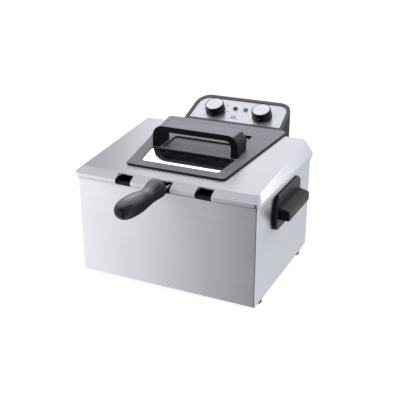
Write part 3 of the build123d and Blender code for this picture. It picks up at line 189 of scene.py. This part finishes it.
def lens(name, rgb, glow):
    """Clear coloured plastic over a lamp, with faint moulded rings inside."""
    g = Graph(name, Transmission_Weight=0.35, IOR=1.5, Coat_Weight=0.6, Coat_Roughness=0.05)
    cells = g.add("ShaderNodeTexVoronoi", {"Vector": g.place(), "Scale": 900.0}).outputs["Distance"]
    g.to("Base Color", g.mix(g.spread(cells, 0.0, 1.0, (0.0, 0.8)), rgb, shade(rgb, 0.45)))
    g.to("Roughness", g.spread(cells, 0.06, 0.16))
    g.to("Normal", g.bump(cells, 0.0002, 0.5))
    g.shader.inputs["Emission Color"].default_value = (*rgb, 1.0)
    g.shader.inputs["Emission Strength"].default_value = glow
    return g.material


GLASS_BOW = 0.085


def window_material():
    """Toughened glass with a thin mirror coating and a trace of oil film."""
    g = Graph("window_glass", Transmission_Weight=1.0, IOR=1.5, Metallic=0.8)
    film = g.noise(30.0, detail=3.0)
    g.to("Roughness", g.spread(film, 0.01, 0.035))
    g.to("Base Color", g.mix(g.spread(film, 0.0, 1.0), (0.84, 0.87, 0.88), (0.9, 0.92, 0.93)))
    # the shading is bowed, so that the pane seems to look a little further forward than the lid
    flat = g.add("ShaderNodeTexCoord").outputs["Normal"]
    bowed = g.vector("ADD", flat, (0.0, -GLASS_BOW, 0.0))
    world = g.add("ShaderNodeVectorTransform", {"Vector": bowed}, vector_type="NORMAL",
                  convert_from="OBJECT", convert_to="WORLD").outputs["Vector"]
    g.to("Normal", g.add("ShaderNodeVectorMath", {0: world}, operation="NORMALIZE").outputs[0])
    return g.material


def felt():
    g = Graph("filter_felt", Sheen_Weight=0.3)
    fibre = g.noise(1.0, g.stretched((1800.0, 500.0, 900.0)), detail=4.0)
    g.to("Base Color", g.mix(g.spread(fibre, 0.0, 1.0), (0.62, 0.58, 0.48), (0.85, 0.82, 0.74)))
    g.to("Roughness", g.spread(fibre, 0.8, 0.95))
    g.to("Normal", g.bump(fibre, 0.0003))
    return g.material


def oxidised_tube():
    """Alloy sheath of the heating element, browned by heat."""
    g = Graph("element_alloy", Metallic=0.85)
    patch = g.noise(45.0, detail=4.0, roughness=0.6)
    fine = g.noise(900.0, detail=2.0)
    g.to("Base Color", g.mix(g.spread(patch, 0.0, 1.0), (0.10, 0.085, 0.075), (0.27, 0.24, 0.21)))
    g.to("Roughness", g.spread(patch, 0.34, 0.55))
    g.to("Normal", g.bump(fine, 0.00003))
    return g.material


STEEL = (0.72, 0.725, 0.745)
WALL_GRAIN = (5.0, 5.0, 1300.0)
LID_GRAIN = (5.0, 1300.0, 1300.0)

MATERIALS = {
    "housing_steel": brushed_metal("housing_steel", STEEL, 0.36, WALL_GRAIN),
    "lid_steel": brushed_metal("lid_steel", STEEL, 0.42, LID_GRAIN),
    "fascia_steel": brushed_metal("fascia_steel", (0.82, 0.825, 0.85), 0.34, (8.0, 1500.0, 1500.0), 0.7),
    "pot_steel": brushed_metal("pot_steel", (0.70, 0.70, 0.71), 0.34, (4.0, 4.0, 700.0), 0.3),
    "galvanised": smooth_metal("galvanised", (0.55, 0.57, 0.58), 0.45, 25.0),
    "chrome_wire": smooth_metal("chrome_wire", (0.83, 0.83, 0.84), 0.14),
    "satin_wire": smooth_metal("satin_wire", (0.92, 0.92, 0.93), 0.5),
    "screw_zinc": smooth_metal("screw_zinc", (0.66, 0.66, 0.66), 0.3),
    "cap_metal": brushed_metal("cap_metal", (0.90, 0.90, 0.90), 0.36, (300.0, 300.0, 300.0), 0.2),
    "copper": smooth_metal("copper", (0.75, 0.42, 0.28), 0.3),
    "brass": smooth_metal("brass", (0.82, 0.68, 0.35), 0.22),
    "control_metal": smooth_metal("control_metal", (0.62, 0.62, 0.63), 0.4),
    # the paler top tones of the panel, handle and head are painted light: upward faces lightened to stand in
    # for light from above
    "panel_plastic": plastic("panel_plastic", (0.004, 0.004, 0.005), 0.45, level=0.3,
                             painted_top_tone=(0.24, 0.24, 0.265)),
    "handle_plastic": plastic("handle_plastic", (0.002, 0.002, 0.003), 0.40, level=0.14,
                              painted_top_tone=(0.30, 0.30, 0.325)),
    # the grip's paler crest is a painted highlight along its upper side
    "grip_plastic": plastic("grip_plastic", (0.003, 0.003, 0.004), 0.30, level=0.32,
                            painted_top_tone=(0.25, 0.25, 0.28), crest=(0.6, 1.0)),
    "head_plastic": plastic("head_plastic", (0.010, 0.010, 0.012), 0.45, level=0.12,
                            painted_top_tone=(0.15, 0.15, 0.165)),
    "knob_plastic": plastic("knob_plastic", (0.004, 0.004, 0.005), 0.35, level=0.22),
    "inner_plastic": plastic("inner_plastic", (0.03, 0.03, 0.03), 0.5),
    "reset_red": plastic("reset_red", (0.5, 0.02, 0.015), 0.3),
    "foot_rubber": rubber("foot_rubber", (0.015, 0.015, 0.015)),
    "seal_rubber": rubber("seal_rubber", (0.03, 0.03, 0.03)),
    "window": window_material(),
    "felt": felt(),
    "dark_print": plastic("dark_print", (0.02, 0.02, 0.025), 0.6),
    "white_print": plastic("white_print", (0.78, 0.78, 0.76), 0.55),
    "pot_mark": smooth_metal("pot_mark", (0.5, 0.5, 0.51), 0.4),
    "element": oxidised_tube(),
    "red_lens": lens("red_lens", (0.16, 0.02, 0.03), 0.0),
    "green_lens": lens("green_lens", (0.01, 0.36, 0.16), 0.15),
    "lamp_glass": lens("lamp_glass", (0.8, 0.7, 0.6), 0.0),
}

NODE_MATERIALS = {
    "housing_steel": ["outer_housing"],
    "lid_steel": ["lid_shell"],
    "fascia_steel": ["fascia_panel"],
    "pot_steel": ["oil_pot", "lid_skirt", "window_retainer", "filter_cover", "head_bracket",
                  "element_clamp", "bulb_clip"],
    "galvanised": ["base_plate"],
    "chrome_wire": ["basket_rim", "basket_ribs", "basket_mesh"],
    "satin_wire": ["basket_handle_fork"],
    "screw_zinc": ["foot_screws", "side_handle_screws", "lid_handle_screws", "cover_screws"],
    "cap_metal": ["thermostat_knob_cap", "timer_knob_cap"],
    "copper": ["thermostat_bulb"],
    "brass": ["inlet_pins"],
    "control_metal": ["thermostat", "thermostat_shaft", "timer_shaft"],
    "panel_plastic": ["lid_panel"],
    "handle_plastic": ["lid_handle"],
    "grip_plastic": ["basket_grip"],
    "head_plastic": ["head_housing", "head_rear_cover"],
    "knob_plastic": ["thermostat_knob", "timer_knob", "side_handle_left", "side_handle_right",
                     "handle_rest_left", "handle_rest_centre", "handle_rest_right", "vent_grille"],
    "inner_plastic": ["timer", "terminal_block", "thermal_cutout", "power_inlet", "interlock_switch"],
    "reset_red": ["reset_button"],
    "foot_rubber": ["feet"],
    "seal_rubber": ["window_gasket"],
    "window": ["window_glass"],
    "felt": ["filter_mat"],
    "element": ["heating_element"],
    "red_lens": ["red_lens"],
    "green_lens": ["green_lens"],
    "lamp_glass": ["indicator_lamps"],
}


def dress_cad_nodes():
    for material_name, node_names in NODE_MATERIALS.items():
        for node_name in node_names:
            mesh = nodes[node_name].data
            mesh.materials.clear()
            mesh.materials.append(MATERIALS[material_name])


dress_cad_nodes()


# ---------------------------------------------------------------- pieces made here
def new_piece(name, bm, material, body, smooth=True):
    """Turn a bmesh into a named piece that rides on one body."""
    bmesh.ops.recalc_face_normals(bm, faces=bm.faces)
    mesh = bpy.data.meshes.new(name)
    bm.to_mesh(mesh)
    bm.free()
    if smooth:
        mesh.shade_smooth()
    mesh.materials.append(material)
    piece = bpy.data.objects.new(name, mesh)
    scene.collection.objects.link(piece)
    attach(piece, body)
    return piece


def add_tube(bm, points, radius, sides=6, closed=False):
    """A round wire along a polyline, with its ends capped."""
    points = [Vector(p) for p in points]
    count = len(points)
    rings = []
    side_axis = None
    for i, point in enumerate(points):
        before = points[i - 1] if i or closed else points[i]
        after = points[(i + 1) % count] if i < count - 1 or closed else points[i]
        along = (after - before).normalized()
        if side_axis is None:
            side_axis = along.orthogonal()
        side_axis = (side_axis - along * side_axis.dot(along)).normalized()
        up = along.cross(side_axis)
        ring = []
        for k in range(sides):
            angle = 2 * math.pi * k / sides
            spoke = math.cos(angle) * side_axis + math.sin(angle) * up
            ring.append(bm.verts.new(point + radius * spoke))
        rings.append(ring)
    last = count if closed else count - 1
    for i in range(last):
        a, b = rings[i], rings[(i + 1) % count]
        turn = 0
        if closed and i == count - 1:
            turn = min(range(sides), key=lambda t: (a[0].co - b[t].co).length)
        for k in range(sides):
            j = (k + 1) % sides
            bm.faces.new((a[k], a[j], b[(j + turn) % sides], b[(k + turn) % sides]))
    if not closed:
        bm.faces.new(reversed(rings[0]))
        bm.faces.new(rings[-1])


# the basket's outline, in metres
BASKET_HALF_W = 0.150
BASKET_HALF_D = 0.098
BASKET_MID_Y = 0.007
BASKET_FLOOR = 0.078
BASKET_RIM = 0.172
BASKET_CORNER = 0.022
BASKET_BEND = 0.008
WIRE_R = 0.0005
WIRE_PITCH = 0.0085
WIRE_GAP = 0.0001       # between the two sets of wires, and to the outline
END_GAP = 0.004         # from the outermost wire to the corner


def outline_half(offset, half_along, half_across):
    """Half-width of the basket's rounded plan, at an offset from its middle."""
    past = abs(offset) - (half_along - BASKET_CORNER)
    if past <= 0.0:
        return half_across
    return half_across - BASKET_CORNER + math.sqrt(max(BASKET_CORNER ** 2 - past ** 2, 0.0))


def u_wire(half, inset):
    """Half-width and height of the points of a wire that runs down, across the floor and up."""
    reach = half - inset
    low = BASKET_FLOOR + inset
    bend = BASKET_BEND
    arc = []
    for step in range(5):
        angle = math.pi / 2 * step / 4
        arc.append((reach - bend + bend * math.cos(angle), low + bend - bend * math.sin(angle)))
    side = [(reach, BASKET_RIM - WIRE_R)] + arc
    return side + [(-x, z) for x, z in reversed(side)]


def spread_out(half, pitch):
    """Positions of parallel wires, evenly spaced about the middle."""
    count = int(2 * half / pitch)
    step = 2 * half / count
    return [-half + step * (i + 0.5) for i in range(count)]


def make_wire_basket():
    """Woven wire mesh of the basket, two sets of bent wires and the level wires round its sides."""
    bm = bmesh.new()
    outer, inner = WIRE_R + WIRE_GAP, 3 * WIRE_R + WIRE_GAP
    for y in spread_out(BASKET_HALF_D - END_GAP, WIRE_PITCH):
        half = outline_half(y, BASKET_HALF_D, BASKET_HALF_W)
        add_tube(bm, [(x, BASKET_MID_Y + y, z) for x, z in u_wire(half, inner)], WIRE_R)
    for x in spread_out(BASKET_HALF_W - END_GAP, WIRE_PITCH):
        half = outline_half(x, BASKET_HALF_W, BASKET_HALF_D)
        add_tube(bm, [(x, BASKET_MID_Y + y, z) for y, z in u_wire(half, outer)], WIRE_R)
    level = BASKET_FLOOR + BASKET_BEND + END_GAP
    while level < BASKET_RIM - 0.003:
        loop = []
        reach_x, reach_y = BASKET_HALF_W - 2 * WIRE_R, BASKET_HALF_D - 2 * WIRE_R
        radius = BASKET_CORNER - 2 * WIRE_R
        for corner, (sx, sy) in enumerate(((1, 1), (-1, 1), (-1, -1), (1, -1))):
            for step in range(7):
                angle = math.pi / 2 * (corner + step / 6)
                x = sx * (reach_x - radius) + radius * math.cos(angle)
                y = sy * (reach_y - radius) + radius * math.sin(angle)
                loop.append((x, BASKET_MID_Y + y, level))
        add_tube(bm, loop, WIRE_R, closed=True)
        level += WIRE_PITCH
    piece = new_piece("basket_wire_mesh", bm, MATERIALS["chrome_wire"], "basket")
    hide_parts("basket_mesh")


# the fascia's own frame: x to the right, u up the slope, n out of it
FASCIA_TILT = math.atan2(35.6, 84.0)
FASCIA_U = Vector((0.0, math.cos(FASCIA_TILT), math.sin(FASCIA_TILT)))
FASCIA_N = Vector((0.0, -math.sin(FASCIA_TILT), math.cos(FASCIA_TILT)))
FASCIA_ORIGIN = Vector((0.0, 0.185, 0.238))
FASCIA_SURFACE = -0.0012
DIAL_X = 0.0535
DIAL_U = 0.0424
PRINT_T = 0.00012
PRINT_N = FASCIA_SURFACE + 0.00002      # underside of the print, just clear of the sheet


def on_fascia(x, u, n):
    return FASCIA_ORIGIN + Vector((x, 0.0, 0.0)) + FASCIA_U * u + FASCIA_N * n


def add_plate(bm, corners, lift):
    """A thin printed patch: its outline, and the same outline lifted."""
    low = [bm.verts.new(c) for c in corners]
    high = [bm.verts.new(Vector(c) + lift) for c in corners]
    bm.faces.new(reversed(low))
    bm.faces.new(high)
    count = len(corners)
    for i in range(count):
        j = (i + 1) % count
        bm.faces.new((low[i], low[j], high[j], high[i]))


def add_text(bm, words, size, place, right, up, lift):
    """Raised lettering, centred on a place, as part of a mesh."""
    curve = bpy.data.curves.new("lettering", "FONT")
    curve.body = words
    curve.size = size
    curve.align_x = "CENTER"
    curve.align_y = "CENTER"
    curve.extrude = lift / 2
    curve.resolution_u = 3
    text = bpy.data.objects.new("lettering", curve)
    scene.collection.objects.link(text)
    bpy.context.view_layer.update()
    mesh = bpy.data.meshes.new_from_object(text)
    out = right.cross(up)
    turn = Matrix((right, up, out)).transposed().to_4x4()
    turn.translation = place + out * (lift / 2)
    mesh.transform(turn)
    bm.from_mesh(mesh)
    bpy.data.objects.remove(text)
    bpy.data.curves.remove(curve)
    bpy.data.meshes.remove(mesh)


def dial_point(x, radius, degrees):
    """A point round a dial, clockwise from straight down the slope."""
    angle = math.radians(degrees)
    return x - radius * math.sin(angle), DIAL_U - radius * math.cos(angle)


def add_dial_marks(bm, x, sweep, steps, numbers):
    """Tick marks and numbers round one dial."""
    lift = FASCIA_N * PRINT_T
    right = Vector((1.0, 0.0, 0.0))
    for i in range(steps + 1):
        degrees = sweep * i / steps
        long_mark = i % 2 == 0
        inner, outer = 0.0232, 0.0256 if long_mark else 0.0246
        half = 0.00022 if long_mark else 0.00015
        angle = math.radians(degrees)
        across_x, across_u = half * math.cos(angle), -half * math.sin(angle)
        corners = []
        for radius, signs in ((inner, (-1, 1)), (outer, (1, -1))):
            end_x, end_u = dial_point(x, radius, degrees)
            for sign in signs:
                corners.append(on_fascia(end_x + sign * across_x, end_u + sign * across_u, PRINT_N))
        add_plate(bm, corners, lift)
    for i, words in enumerate(numbers):
        cx, cu = dial_point(x, 0.0281, sweep * i / (len(numbers) - 1))
        add_text(bm, words, 0.0031, on_fascia(cx, cu, PRINT_N), right, FASCIA_U, PRINT_T)


def make_fascia_print():
    """Scales of both dials, and a plain sign of rising heat between them."""
    bm = bmesh.new()
    add_dial_marks(bm, -DIAL_X, 270.0, 12, ["0", "130", "150", "160", "170", "180", "190"])
    add_dial_marks(bm, DIAL_X, 300.0, 12, ["0", "5", "10", "15", "20", "25", "30"])
    lift = FASCIA_N * PRINT_T
    for offset in (-0.0042, 0.0, 0.0042):
        left, right = [], []
        for step in range(9):
            u = 0.0242 + 0.0066 * step / 8
            x = -0.006 + offset + 0.0007 * math.sin(2 * math.pi * step / 8)
            left.append(on_fascia(x - 0.0009, u, PRINT_N))
            right.append(on_fascia(x + 0.0009, u, PRINT_N))
        add_plate(bm, right + left[::-1], lift)
    bar = [(-0.0175, 0.0212), (0.0055, 0.0212), (0.0055, 0.0219), (-0.0175, 0.0219)]
    add_plate(bm, [on_fascia(x, u, PRINT_N) for x, u in bar], lift)
    piece = new_piece("fascia_print", bm, MATERIALS["dark_print"], "control_head", smooth=False)


def make_pointers():
    """White line on each dial's pointer."""
    nib_top = FASCIA_SURFACE + 0.0006 + 0.007       # the knob's gap, then the height of its nib
    half = 0.0005
    for body, x in (("thermostat_dial", -DIAL_X), ("timer_dial", DIAL_X)):
        bm = bmesh.new()
        outline = []
        for start, end_u in ((0.0, -0.0208), (math.pi, -0.0226)):
            for step in range(13):
                angle = start + math.pi * step / 12
                outline.append((half * math.cos(angle), end_u + half * math.sin(angle)))
        corners = [on_fascia(x + px, DIAL_U + pu, nib_top) for px, pu in outline]
        add_plate(bm, corners, FASCIA_N * 0.00015)
        piece = new_piece(f"{body}_pointer", bm, MATERIALS["white_print"], body, smooth=False)


def make_oil_marks():
    """Raised lines and letters on the pot's front wall for the highest and lowest oil level."""
    bm = bmesh.new()
    right, up = Vector((-1.0, 0.0, 0.0)), Vector((0.0, 0.0, 1.0))
    wall = -0.107
    lift = Vector((0.0, 0.0003, 0.0))
    for z, words in ((0.148, "MAX"), (0.118, "MIN")):
        corners = [(0.122, wall, z - 0.0006), (0.122, wall, z + 0.0006), (0.092, wall, z + 0.0006),
                   (0.092, wall, z - 0.0006)]
        add_plate(bm, [Vector(c) for c in corners], lift)
        add_text(bm, words, 0.0075, Vector((0.107, wall, z + 0.005)), right, up, 0.0003)
    piece = new_piece("oil_level_marks", bm, MATERIALS["pot_mark"], "oil_container", smooth=False)


def make_rating_plate():
    """Blank metal plate with rounded corners and ruled lines, on the head's rear cover."""
    bm = bmesh.new()
    half_w, half_h, radius = 0.021, 0.011, 0.0015
    surface, thickness = 0.26901, 0.0003
    outline = []
    for corner, (sx, sz) in enumerate(((1, 1), (-1, 1), (-1, -1), (1, -1))):
        for step in range(6):
            angle = math.pi / 2 * (corner + step / 5)
            outline.append(Vector((sx * (half_w - radius) + radius * math.cos(angle), surface,
                                   0.184 + sz * (half_h - radius) + radius * math.sin(angle))))
    add_plate(bm, outline[::-1], Vector((0.0, thickness, 0.0)))
    plate = new_piece("rating_plate", bm, MATERIALS["galvanised"], "control_head", smooth=False)
    bm = bmesh.new()
    for z in (0.1765, 0.1803, 0.1841, 0.1879, 0.1915):
        corners = [(-0.0185, z + 0.0002), (0.0185, z + 0.0002), (0.0185, z - 0.0002), (-0.0185, z - 0.0002)]
        line = [Vector((x, surface + thickness, height)) for x, height in corners]
        add_plate(bm, line, Vector((0.0, 0.00006, 0.0)))
    lines = new_piece("rating_plate_lines", bm, MATERIALS["dark_print"], "control_head", smooth=False)


make_wire_basket()
make_fascia_print()
make_pointers()
make_oil_marks()
make_rating_plate()


# ---------------------------------------------------------------- stage and light
def area_light(name, place, aim, size, power):
    data = bpy.data.lights.new(name, "AREA")
    data.shape = "RECTANGLE"
    data.size, data.size_y = size
    data.energy = power
    light = bpy.data.objects.new(name, data)
    light.location = place
    light.rotation_euler = (Vector(aim) - Vector(place)).to_track_quat("-Z", "Y").to_euler()
    scene.collection.objects.link(light)


def make_floor():
    """A plain white floor, bright enough that the object throws only a faint shadow on it."""
    bpy.ops.mesh.primitive_plane_add(size=40.0, location=(0.0, 0.0, 0.0))
    floor = bpy.context.active_object
    floor.name = "floor"
    g = Graph("floor_paper", Roughness=0.95, Specular_IOR_Level=0.0)
    tone = g.noise(3.0, detail=3.0)
    g.to("Base Color", g.mix(g.spread(tone, 0.0, 1.0), (0.30, 0.30, 0.30), (0.32, 0.32, 0.32)))
    g.shader.inputs["Emission Color"].default_value = (1.0, 1.0, 1.0, 1.0)
    g.shader.inputs["Emission Strength"].default_value = 0.84
    floor.data.materials.append(g.material)
    floor.visible_glossy = False


# brightness of the studio round the object, by degrees from straight in front to the right
BEARING_LIGHT = ((-180, 0.30), (-165, 0.30), (-150, 0.14), (-125, 0.14), (-100, 0.70), (-70, 1.0),
                 (-42, 1.0), (-34, 0.84), (-27, 0.32), (-19, 0.05), (-5, 0.015), (10, 0.02), (28, 0.16),
                 (50, 0.45), (80, 0.50), (112, 0.55), (145, 0.60), (165, 0.36), (180, 0.30))


def make_world():
    """A soft studio: white on the left, dark in front on the right, grey behind and overhead."""
    world = bpy.data.worlds.new("studio")
    world.use_nodes = True
    scene.world = world
    tree = world.node_tree

    def math_node(operation, a, b):
        node = tree.nodes.new("ShaderNodeMath")
        node.operation = operation
        feed(tree, a, node.inputs[0])
        feed(tree, b, node.inputs[1])
        return node.outputs[0]

    background = tree.nodes["Background"]
    place = tree.nodes.new("ShaderNodeTexCoord")
    parts = tree.nodes.new("ShaderNodeSeparateXYZ")
    tree.links.new(place.outputs["Generated"], parts.inputs[0])
    # bearing round the object: 0 behind, 0.25 left, 0.5 in front, 0.75 right, 1 behind
    bearing = math_node("ARCTAN2", parts.outputs[0], math_node("MULTIPLY", parts.outputs[1], -1.0))
    turn = math_node("ADD", math_node("DIVIDE", bearing, 2 * math.pi), 0.5)
    ramp = tree.nodes.new("ShaderNodeValToRGB")
    ramp.color_ramp.interpolation = "B_SPLINE"
    stops = ramp.color_ramp.elements
    while len(stops) > 1:
        stops.remove(stops[-1])
    stops[0].position = 0.0
    for degrees, _ in BEARING_LIGHT[1:]:
        stops.new(0.5 + degrees / 360.0)
    for stop, (_, level) in zip(stops, BEARING_LIGHT):
        stop.color = (level, level, level, 1.0)
    tree.links.new(turn, ramp.inputs["Fac"])
    overhead = tree.nodes.new("ShaderNodeMapRange")
    overhead.interpolation_type = "SMOOTHSTEP"
    for name, value in (("From Min", 0.55), ("From Max", 0.85)):
        overhead.inputs[name].default_value = value
    tree.links.new(parts.outputs[2], overhead.inputs["Value"])
    blend = tree.nodes.new("ShaderNodeMix")
    blend.data_type = "FLOAT"
    tree.links.new(overhead.outputs["Result"], blend.inputs[0])
    tree.links.new(ramp.outputs["Color"], blend.inputs[2])
    blend.inputs[3].default_value = 0.46
    strength = math_node("MULTIPLY", blend.outputs[0], 1.72)
    tree.links.new(strength, background.inputs["Strength"])
    # the unlit side of the studio is a little blue
    tint = tree.nodes.new("ShaderNodeMix")
    tint.data_type = "RGBA"
    tree.links.new(ramp.outputs["Color"], tint.inputs["Factor"])
    tint.inputs[6].default_value = (0.93, 0.95, 1.06, 1.0)
    tint.inputs[7].default_value = (0.985, 0.99, 1.0, 1.0)
    tree.links.new(tint.outputs[2], background.inputs["Color"])


def make_lights():
    area_light("back_left", (-0.60, 1.88, 1.42), (0.0, 0.0, 0.2), (1.4, 1.0), 8.8)
    area_light("back_right", (0.95, 1.6, 0.95), (0.0, 0.0, 0.2), (0.9, 0.7), 3.8)


make_floor()
make_world()
make_lights()
scene.view_settings.view_transform = "Standard"
